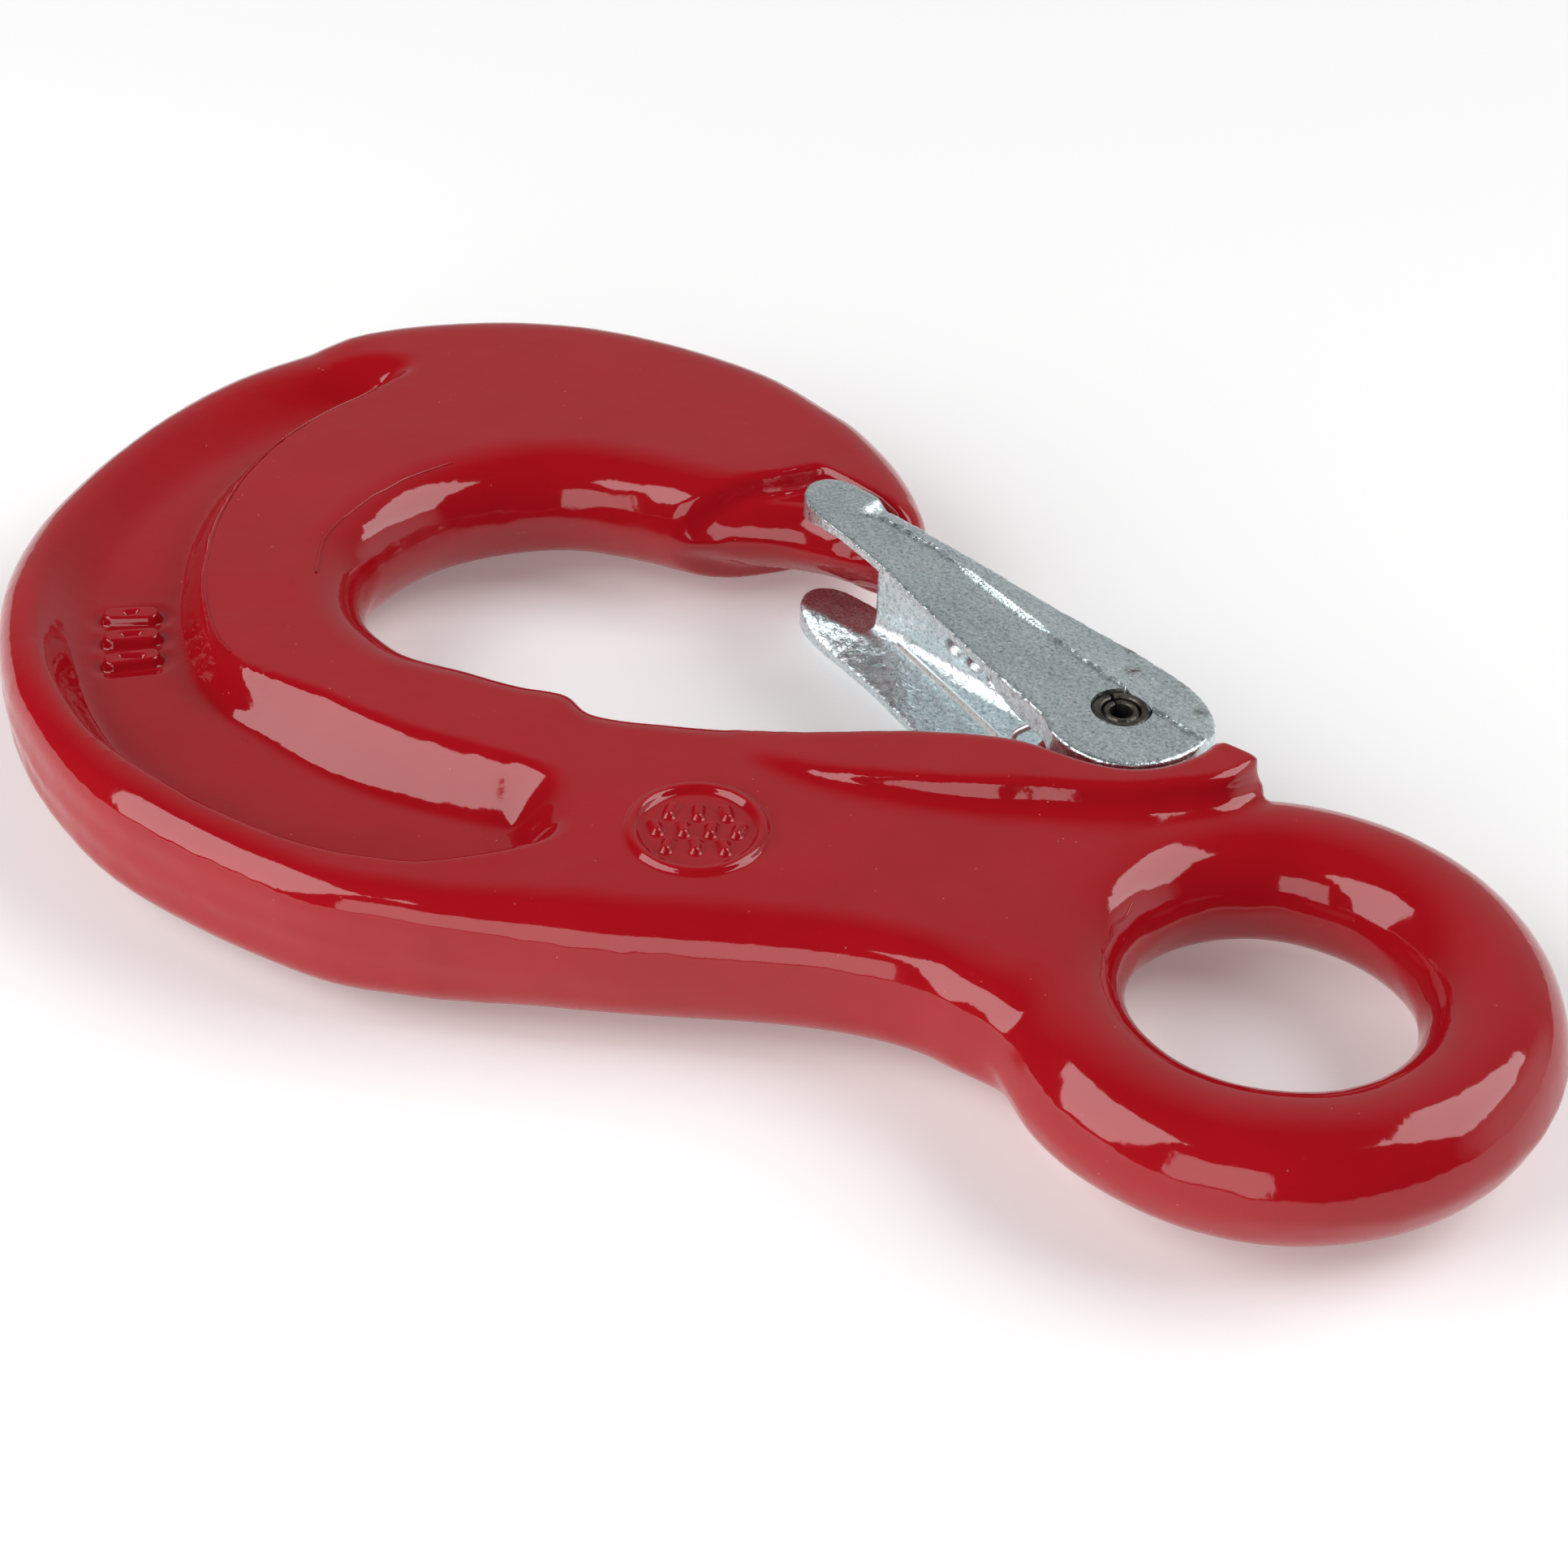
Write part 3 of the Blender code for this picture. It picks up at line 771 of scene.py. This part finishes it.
def refine(thing, centre, reach, cuts):
    """Cuts the level faces within reach of a plan point, above and below it, into smaller ones."""
    shell = bmesh.new()
    shell.from_mesh(thing.data)
    middle = to_world((*centre, 0.0))
    chosen = [
        face
        for face in shell.faces
        if abs(face.normal.z) > 0.7 and (face.calc_center_median() - middle).xy.length < reach * MM
    ]
    edges = list(dict.fromkeys(edge for face in chosen for edge in face.edges))
    bmesh.ops.subdivide_edges(shell, edges=edges, cuts=cuts, use_grid_fill=True)
    shell.to_mesh(thing.data)
    shell.free()


def bar(x, y, centre, angle, half_length, half_width, edge):
    """How fully plan points lie in a rounded bar, from 0 outside to 1 on it."""
    turn = radians(angle)
    u = (x - centre[0]) * cos(turn) + (y - centre[1]) * sin(turn)
    v = (y - centre[1]) * cos(turn) - (x - centre[0]) * sin(turn)
    out = np.hypot(np.maximum(np.abs(u) - half_length, 0), v) - half_width
    return smooth_rows(0.5 - out / edge)


def stamp_marks(body):
    """A plain round seal on the shank, and three plain pads in the recess."""
    refine(body, BADGE, BADGE_R + 1.5, 2)
    refine(body, STAMP, 9.0, 2)
    points = points_of(body)
    x, y, z = to_plan(points).T
    reach = np.hypot(x - BADGE[0], y - BADGE[1])
    rise = BADGE_RISE * smooth_rows((0.85 - np.abs(reach - BADGE_R)) / 0.7)
    rise -= BADGE_SINK * smooth_rows((BADGE_R - 0.5 - reach) / 0.6)
    away = radians(BADGE_TURN)
    for row, count in ((-2.6, 3), (0.0, 4), (2.6, 3)):
        for step in np.arange(count) - (count - 1) / 2:
            u, v = step * DOT_PITCH, row
            centre = (BADGE[0] + u * cos(away) - v * sin(away), BADGE[1] + u * sin(away) + v * cos(away))
            tilt = BADGE_TURN + 90 + 14 * step * (1 if row else -1)
            rise += DOT_RISE * bar(x, y, centre, tilt, 0.6, 0.50, 0.6)
    turn = radians(STAMP_TURN)
    for step in (-1, 0, 1):
        shift = PAD_PITCH * step
        centre = (STAMP[0] + shift * cos(turn), STAMP[1] + shift * sin(turn))
        pad = bar(x, y, centre, STAMP_TURN + 90 + 5 * step, 1.9, 1.15, 0.7)
        dent = bar(x, y, centre, STAMP_TURN + 90 - 9 * step, 0.8 + 0.3 * step, 0.22, 0.55)
        halo = bar(x, y, centre, STAMP_TURN + 90, 2.3, 2.0, 1.4)
        rise += PAD_RISE * pad - DENT_SINK * dent - HALO_SINK * halo
    points[:, 2] += rise * np.sign(z) * MM * (np.abs(z) > 1.5)
    set_points(body, points)


def flash_beads(finish):
    """Thin raised lines left by the forging dies: on the recess's inner edge, in the bowl and in the eye."""
    stations = np.array(RECESS_STATIONS)
    walls = np.array(BOWL_STATIONS)
    routes = []
    crest = []
    for angle in np.linspace(163, 247, 70):
        reach = np.interp(angle, stations[:, 0], stations[:, 1]) - 0.35
        way = (cos(radians(angle)), sin(radians(angle)))
        crest.append((BOWL[0] + reach * way[0], BOWL[1] + reach * way[1], HALF_THICK - 0.02))
    routes.append((crest, 0.13))
    bowl = []
    for angle in np.linspace(163, 224, 50):
        wave = 0.16 * noise.noise(Vector((angle * 0.21, 0.4, 0.9)))
        reach = np.interp(angle, walls[:, 0], walls[:, 1]) + 4.9 + wave
        up = HALF_THICK - BOWL_INNER_ROUND + (BOWL_INNER_ROUND**2 - (2.0 - wave) ** 2) ** 0.5
        bowl.append((BOWL[0] + reach * cos(radians(angle)), BOWL[1] + reach * sin(radians(angle)), up - 0.03))
    routes.append((bowl, 0.15))
    eye = []
    for angle in np.linspace(183, 236, 50):
        wave = 0.5 * noise.noise(Vector((angle * 0.13, 2.4, 5.9)))
        up = 4.9 + wave
        reach = EYE_RING_R - (EYE_BAR_R**2 - up**2) ** 0.5
        eye.append((reach * cos(radians(angle)), reach * sin(radians(angle)), up))
    routes.append((eye, 0.15))
    for number, (route, radius) in enumerate(routes):
        for side in (1, -1):
            bead = wire(f"flash_line_{number}", [(x, y, side * z) for x, y, z in route], radius)
            bead.data.materials.append(finish)
            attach(bead, "hook")
            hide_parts("hook_body")


def hook_body():
    body = loft("painted_forging", [body_ring(row) for row in spline(body_rows(), 10)])
    boolean(body, eye_ring(), "UNION")
    boolean(body, loft("ledge", [ledge_ring(row) for row in spline(LEDGE_ROWS, 8)]), "UNION")
    for side in (1, -1):
        boolean(body, cheek_clearance(side), "DIFFERENCE")
    boolean(body, lug(), "UNION")
    for side in (1, -1):
        low, high = sorted((side * LUG_HALF, side * 12.0))
        boolean(body, disc("spring_seat", PIVOT, SPRING_SEAT_R, low, high), "DIFFERENCE")
    boolean(body, disc("pivot_bore", PIVOT, PIN_R + 0.05, -12, 12), "DIFFERENCE")
    remesh(body, HOOK_VOXEL)
    x, y, _ = to_plan(points_of(body)).T
    crisp = smooth_rows((POCKET_REACH - np.hypot(x - POCKET_MIDDLE[0], y - POCKET_MIDDLE[1])) / 2.0)
    relax(body, HOOK_SMOOTH, 0.5 - 0.32 * crisp, push_back=1.04)
    soften_joins(body)
    forge_skin(body)
    stamp_marks(body)
    body.data.shade_smooth()
    body.data.materials.clear()
    paint = red_gloss_paint()
    body.data.materials.append(paint)
    flash_beads(paint)
    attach(body, "hook")
    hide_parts("hook_body")
    return body


# ---------------------------------------------------------------- latch


def channel():
    """Web between the cheeks, with hollow corners."""
    rings = []
    for x, out in ((WEB_FROM, 32.1), (WEB_TO, 30.1)):
        inner = out - WEB_THICK
        corner = arc((inner - CORNER, CHEEK_IN - CORNER), CORNER, 90, 0, 8)
        half = [(out, CHEEK_IN + 1), (inner - CORNER, CHEEK_IN + 1), *corner]
        rings.append([(x, y, z) for y, z in half + [(y, -z) for y, z in reversed(half)]])
    return loft("web", rings)


def above_seam(x, y):
    """Distance of plan points from the seam towards the cheek's top edge."""
    line = np.array(SEAM)
    return y - np.interp(x, line[:, 0], line[:, 1])


def taper_cheeks(body):
    """Thins the cheeks towards their free edges from the inside, between the web and the pin."""
    points = points_of(body)
    x, y, z = to_plan(points).T
    lower = np.array(CHEEK_OUTLINE[10:17])
    edge = np.interp(x, lower[:, 0], lower[:, 1])
    thin = CHEEK_TAPER * np.clip((27.5 - y) / (27.5 - edge), 0, 1) * smooth_rows((-41.0 - x) / 7.0)
    thin *= 0.6 + 0.4 * smooth_rows((x + 81.0) / 9.0)
    thick = CHEEK_OUT - CHEEK_IN
    inner = smooth_rows((np.abs(z) - CHEEK_IN + 1.0) / 1.0)
    depth = np.clip(CHEEK_OUT - np.abs(z), 0, thick)
    points[:, 2] += np.sign(z) * inner * depth * thin / thick * MM
    set_points(body, points)


def cast_skin(body):
    """Moves the latch's surface: cheeks that fall away above a ragged seam, unevenness and the hollows."""
    points = points_of(body)
    normals = normals_of(body)
    x, y, z = to_plan(points).T
    face = np.clip((np.abs(z) - CHEEK_IN - 0.3) / (CHEEK_OUT - CHEEK_IN - 0.6), 0, 1)
    ragged = np.array([noise.noise(Vector((p, 3.7, 0.2))) for p in x * 0.9])
    above = above_seam(x, y) + 0.35 * ragged
    along = smooth_rows((x + 74.0) / 2.0)
    plain = smooth_rows((x - KNURL_FROM + 1) / 2.0) * smooth_rows((KNURL_TO + 1 - x) / 2.0)
    fall = along * (SEAM_STEP * smooth_rows((above + 0.1) / 0.4) + SEAM_FALL * np.clip(above, 0, 5))
    burr = along * (1 - plain) * BURR_RISE * np.exp(-(((above + 0.15) / 0.28) ** 2))
    drop = face * (fall - burr)
    slow = np.array([noise.noise(p * 0.35) for p in map(Vector, zip(x, y, z))])
    quick = np.array([noise.noise(p * 1.3 + Vector((4, 1, 8))) for p in map(Vector, zip(x, y, z))])
    edge = smooth_rows((0.97 - np.abs(normals[:, 2])) / 0.3)
    rise = 0.05 * slow + (0.03 + 0.01 * edge) * quick
    web = (normals[:, 1] < -0.2) & (np.abs(z) < CHEEK_IN) & (y > 24)
    for along_web, up in HOLLOWS:
        reach = np.hypot((x - along_web) / 1.15, (np.abs(z) - up) / 1.0)
        rise -= HOLLOW_SINK * web * smooth_rows((1.15 - reach) / 0.7)
    points += normals * (rise * MM)[:, None]
    points[:, 2] -= np.sign(z) * drop * MM
    set_points(body, points)


def knurl(side, finish):
    """Short cross ribs that fill a stretch of the seam."""
    count = int((KNURL_TO - KNURL_FROM) / RIB_PITCH * 2)
    rings = []
    line = np.array(SEAM)
    for x in np.linspace(KNURL_FROM, KNURL_TO, count + 1):
        y = np.interp(x, line[:, 0], line[:, 1])
        rib = RIB_RISE if len(rings) % 2 else 0.0
        half = 0.55 * min(1.0, 0.2 + (x - KNURL_FROM) / 3, 0.2 + (KNURL_TO - x) / 3)
        section = ((-half, -0.5), (-half, 0.02 + rib), (half, -0.42 + rib), (half, -0.9))
        rings.append([(x + 0.35 * v, y + v, side * (CHEEK_OUT + h)) for v, h in section])
    piece = loft("seam_ribs", rings)
    piece.data.materials.append(finish)
    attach(piece, "latch")
    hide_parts("latch")


def latch():
    finish = zinc_plate()
    outline = [tuple(point) for point in spline((*CHEEK_OUTLINE, CHEEK_OUTLINE[0]), 6)[:-1]]
    body = prism("cast_latch", outline, CHEEK_IN, CHEEK_OUT)
    boolean(body, channel(), "UNION")
    boolean(body, prism("lower_cheek", outline, -CHEEK_OUT, -CHEEK_IN), "UNION")
    remesh(body, LATCH_VOXEL)
    taper_cheeks(body)
    relax(body, LATCH_SMOOTH, push_back=1.03)
    cast_skin(body)
    boolean(body, disc("pin_holes", PIVOT, PIN_R + 0.14, -12, 12, 96), "DIFFERENCE")
    body.data.shade_smooth()
    body.data.set_sharp_from_angle(angle=radians(50))
    body.data.materials.clear()
    body.data.materials.append(finish)
    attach(body, "latch")
    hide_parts("latch")
    for side in (1, -1):
        knurl(side, finish)


# ---------------------------------------------------------------- pins and spring


def spring_pin(name, node, radius, bore, finish, half):
    """A rolled tube with chamfered ends and a slot along its length."""
    slot, facing, chamfer = 5, 150, 0.3
    rings = []
    for angle in np.linspace(facing + slot, facing + 360 - slot, 73):
        way = (cos(radians(angle)), sin(radians(angle)))
        side = [(radius - chamfer, half), (radius, half - chamfer)]
        side += [(r, -z) for r, z in reversed(side)]
        inner = [(bore + chamfer / 2, -half), (bore, chamfer / 2 - half)]
        inner += [(r, -z) for r, z in reversed(inner)]
        rings.append([(PIVOT[0] + r * way[0], PIVOT[1] + r * way[1], z) for r, z in side + inner])
    pin = loft(name, rings)
    pin.data.shade_smooth()
    pin.data.set_sharp_from_angle(angle=radians(30))
    pin.data.materials.append(finish)
    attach(pin, "hook")
    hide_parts(node)


def wire(name, route, radius):
    """A round wire through plan points."""
    path = np.array(route)
    ahead = np.gradient(path, axis=0)
    ahead /= np.linalg.norm(ahead, axis=1)[:, None]
    up = np.array((0.31, 0.22, 1.0))
    rings = []
    for place, way in zip(path, ahead):
        side = np.cross(way, up)
        side /= np.linalg.norm(side)
        up = np.cross(side, way)
        around = np.arange(14) / 14 * tau
        rings.append([tuple(place + radius * (side * cos(a) + up * sin(a))) for a in around])
    thing = loft(name, rings)
    thing.data.shade_smooth()
    thing.data.set_sharp_from_angle(angle=radians(50))
    return thing


def coil(turn_from, turn_to):
    """Points along the upper coil, which winds from its leg towards the forging plane."""
    start = radians(LEG_FROM)
    points = []
    for turn in np.linspace(turn_from, turn_to, int((turn_to - turn_from) * 48) + 1):
        angle = start + tau * turn
        x = PIVOT[0] + COIL_R * cos(angle)
        points.append((x, PIVOT[1] + COIL_R * sin(angle), COIL_TOP - COIL_PITCH * turn))
    return points


def leg():
    """Points from a leg's end on the web, round its bend, to the start of its coil."""
    start = coil(0, 0.02)[0]
    lead = np.array(start[:2]) - np.array(LEG_BEND)
    lead /= hypot(*lead)
    tail = np.array(LEG_BEND) - np.array(LEG_END)
    tail /= hypot(*tail)
    points = [LEG_END, np.array(LEG_END) + tail * 6, LEG_BEND - tail * 5, LEG_BEND - tail * 1.0]
    points += [LEG_BEND + lead * 1.0, LEG_BEND + lead * 5, start[:2] - lead * 2]
    rows = [(*point, COIL_TOP) for point in points] + [start]
    return [tuple(point) for point in spline(rows, 5)[:-1]]


def bow(end):
    """Upper half of the bow: it leaves the coil's end, passes the lug and turns to the forging plane."""
    x, y, _ = end
    rows = [end] + [(x + share * (BOW[0] - x), y + share * (BOW[1] - y), z) for share, z in BOW_ROWS]
    return [tuple(point) for point in spline(rows, 5)[1:]]


def latch_spring():
    """The legs press on the latch and turn with it; the coils' inner turns and the bow stay put."""
    finish = spring_wire()
    pieces = []
    for side, word in ((1, "upper"), (-1, "lower")):
        route = [(x, y, side * z) for x, y, z in leg() + coil(0, 1.35)]
        pieces.append((wire(f"{word}_leg", route, WIRE_R), "latch"))
    half = coil(0.95, COIL_TURNS)
    half += bow(half[-1])
    route = half + [(x, y, -z) for x, y, z in reversed(half[:-1])]
    pieces.append((wire("coils", route, WIRE_R - 0.01), "hook"))
    for piece, body in pieces:
        piece.data.materials.append(finish)
        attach(piece, body)
        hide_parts("latch_spring")


# ---------------------------------------------------------------- stage


def floor():
    mesh = bpy.data.meshes.new("floor")
    half = FLOOR_HALF
    corners = [(-half, -half, 0), (half, -half, 0), (half, half, 0), (-half, half, 0)]
    mesh.from_pydata(corners, [], [(0, 1, 2, 3)])
    thing = link("floor", mesh)
    mesh.materials.append(pale_floor())


def camera():
    shot = bpy.data.cameras.new("camera")
    shot.lens = LENS
    shot.sensor_width = 36
    shot.clip_start = 0.01
    thing = link("camera", shot)
    turn, tilt = radians(AZIMUTH), radians(ELEVATION)
    back = Vector((sin(turn) * cos(tilt), -cos(turn) * cos(tilt), sin(tilt)))
    thing.location = to_world((*AIM, 0.0)) + back * DISTANCE * MM
    level = Euler((pi / 2 - tilt, 0, turn)).to_matrix()
    thing.rotation_euler = (level @ Euler((0, 0, radians(ROLL))).to_matrix()).to_euler()
    bpy.context.scene.camera = thing


def softbox(name, azimuth, near, far, width, radiance):
    """A flat lamp whose nearer and farther edges are given as (reach, height) in metres along an azimuth."""
    turn = radians(AZIMUTH - azimuth)
    out = Vector((-sin(turn), cos(turn), 0.0))
    corners = [out * reach + Vector((0, 0, height)) for reach, height in (near, far)]
    along = corners[1] - corners[0]
    across = out.cross(Vector((0, 0, 1)))
    lamp = bpy.data.lights.new(name, "AREA")
    lamp.shape = "RECTANGLE"
    lamp.size, lamp.size_y = width, along.length
    lamp.energy = radiance * LAMP_WATTS * width * along.length
    thing = link(name, lamp)
    thing.location = (corners[0] + corners[1]) / 2
    facing = along.normalized().cross(across).normalized()
    # The lamp shines along its own -Z, so its Z points up and away
    facing = -facing if facing.z < 0 else facing
    side = along.normalized().cross(facing)
    thing.rotation_euler = Matrix((side, along.normalized(), facing)).transposed().to_euler()
    thing.visible_camera = False


def studio():
    """Dim room with a pale backdrop beyond the hook and a paler wall to its right."""
    world = bpy.data.worlds.new("studio")
    bpy.context.scene.world = world
    world.use_nodes = True
    tree = world.node_tree
    place = tree.nodes.new("ShaderNodeTexCoord").outputs["Generated"]
    glow = None
    for azimuth, elevation, edge, strength in GLOWS:
        turn, rise = radians(AZIMUTH - azimuth), radians(elevation)
        dot = tree.nodes.new("ShaderNodeVectorMath")
        dot.operation = "DOT_PRODUCT"
        dot.inputs[1].default_value = (-sin(turn) * cos(rise), cos(turn) * cos(rise), sin(rise))
        tree.links.new(place, dot.inputs[0])
        fade = tree.nodes.new("ShaderNodeMapRange")
        fade.interpolation_type = "SMOOTHSTEP"
        fade.inputs["From Min"].default_value = cos(radians(edge))
        fade.inputs["To Max"].default_value = strength
        tree.links.new(dot.outputs["Value"], fade.inputs["Value"])
        if glow is None:
            glow = fade.outputs["Result"]
        else:
            add = tree.nodes.new("ShaderNodeMath")
            tree.links.new(glow, add.inputs[0])
            tree.links.new(fade.outputs["Result"], add.inputs[1])
            glow = add.outputs[0]
    floor_level = tree.nodes.new("ShaderNodeMath")
    floor_level.inputs[1].default_value = ROOM_GLOW
    tree.links.new(glow, floor_level.inputs[0])
    tree.nodes["Background"].inputs["Color"].default_value = (1.0, 1.0, 1.0, 1.0)
    tree.links.new(floor_level.outputs[0], tree.nodes["Background"].inputs["Strength"])
    for lamp in LAMPS:
        softbox(*lamp)
    bpy.context.scene.view_settings.view_transform = "Standard"


def main():
    hook_body()
    latch()
    steel = burnished_steel()
    spring_pin("outer_pin", "outer_spring_pin", PIN_R, PIN_BORE_R, steel, PIN_HALF)
    spring_pin("inner_pin", "inner_spring_pin", INNER_PIN_R, INNER_BORE_R, steel, PIN_HALF - 0.15)
    latch_spring()
    floor()
    camera()
    studio()


main()
